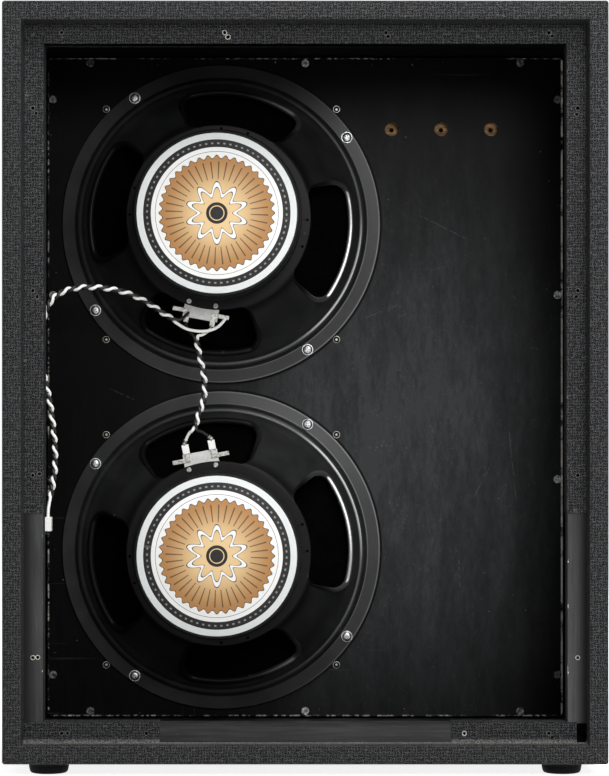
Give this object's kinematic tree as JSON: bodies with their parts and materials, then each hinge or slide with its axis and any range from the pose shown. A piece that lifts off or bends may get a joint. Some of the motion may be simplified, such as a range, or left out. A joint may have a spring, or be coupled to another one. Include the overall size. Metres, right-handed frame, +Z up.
{
  "type": "guitar speaker cabinet",
  "caption": "Tall guitar speaker cabinet with open back, vinyl-covered plywood shell, baffle carrying large loudspeakers with sprung cones, twisted leads and rubber feet.",
  "frame": {"origin": "centre of the cabinet on the floor under its feet", "axes": "+Z up, +Y towards the grille, the open back faces -Y"},
  "size_m": [0.54, 0.29, 0.692],
  "materials": {
    "vinyl": "coarse-grained black leathercloth",
    "plywood": "birch plywood, sprayed black inside",
    "black_wood": "black painted wood, slightly worn",
    "grille_cloth": "woven black and silver-grey cloth",
    "rubber": "moulded black rubber",
    "screw_steel": "zinc-plated steel",
    "dark_steel": "blackened steel",
    "brass": "turned brass",
    "dish_steel": "black powder coat",
    "jack_plastic": "moulded black plastic",
    "lead_insulation": "white and black insulated wires twisted together",
    "sleeve_plastic": "white nylon and bare tinned crimp",
    "tinsel": "braided tinsel",
    "basket_paint": "satin black enamel on pressed steel",
    "gasket_board": "dark pressed board",
    "surround_cloth": "doped corrugated cloth",
    "spider_cloth": "impregnated corrugated cloth",
    "plate_steel": "black painted steel",
    "ferrite": "black ferrite",
    "label_paper": "printed paper in white, black and gold",
    "fibre_board": "grey vulcanised fibre",
    "tag_metal": "tinned brass",
    "cone_paper": "dark pressed paper",
    "coil_copper": "enamelled copper wire on a former"
  },
  "bodies": {
    "cabinet": {"top_panel": "plywood", "bottom_panel": "plywood", "left_side_panel": "plywood", "right_side_panel": "plywood", "vinyl_covering": "vinyl", "baffle_board": "black_wood", "front_lip_top": "plywood", "front_lip_bottom": "plywood", "front_lip_left": "plywood", "front_lip_right": "plywood", "rear_cleat_top": "black_wood", "rear_cleat_bottom": "black_wood", "rear_cleat_left": "black_wood", "rear_cleat_right": "black_wood", "cleat_covering": "vinyl", "grille_board": "black_wood", "grille_cloth": "grille_cloth", "rubber_feet": "rubber", "foot_screws": "screw_steel", "baffle_screws": "dark_steel", "grille_inserts": "brass", "grille_bolts": "screw_steel", "speaker_screws": "screw_steel", "speaker_washers": "screw_steel", "speaker_tee_nuts": "screw_steel", "jack_dish": "dish_steel", "jack_socket": "jack_plastic", "jack_dish_screws": "screw_steel", "main_lead": "lead_insulation", "main_lead_tails": "lead_insulation", "link_lead": "lead_insulation", "link_lead_tails": "lead_insulation", "crimp_sleeves": "sleeve_plastic", "flex_leads": "tinsel", "upper_basket": "basket_paint", "upper_gasket": "gasket_board", "upper_surround": "surround_cloth", "upper_spider": "spider_cloth", "upper_front_plate": "plate_steel", "upper_magnet": "ferrite", "upper_yoke": "plate_steel", "upper_label": "label_paper", "upper_terminal_board": "fibre_board", "upper_terminal_tags": "tag_metal", "lower_basket": "basket_paint", "lower_gasket": "gasket_board", "lower_surround": "surround_cloth", "lower_spider": "spider_cloth", "lower_front_plate": "plate_steel", "lower_magnet": "ferrite", "lower_yoke": "plate_steel", "lower_label": "label_paper", "lower_terminal_board": "fibre_board", "lower_terminal_tags": "tag_metal"},
    "upper_cone_assembly": {"upper_cone": "cone_paper", "upper_dust_cap": "cone_paper", "upper_voice_coil": "coil_copper"},
    "lower_cone_assembly": {"lower_cone": "cone_paper", "lower_dust_cap": "cone_paper", "lower_voice_coil": "coil_copper"}
  },
  "joints": [
    {"name": "upper_cone_stroke", "type": "slide", "parent": "cabinet", "child": "upper_cone_assembly", "axis": [0, 1, 0], "range_m": [-0.004, 0.004], "stiffness_N_per_m": 6000, "deforming": ["upper_surround", "upper_spider", "flex_leads"]},
    {"name": "lower_cone_stroke", "type": "slide", "parent": "cabinet", "child": "lower_cone_assembly", "axis": [0, 1, 0], "range_m": [-0.004, 0.004], "stiffness_N_per_m": 6000, "deforming": ["lower_surround", "lower_spider", "flex_leads"]}
  ]
}
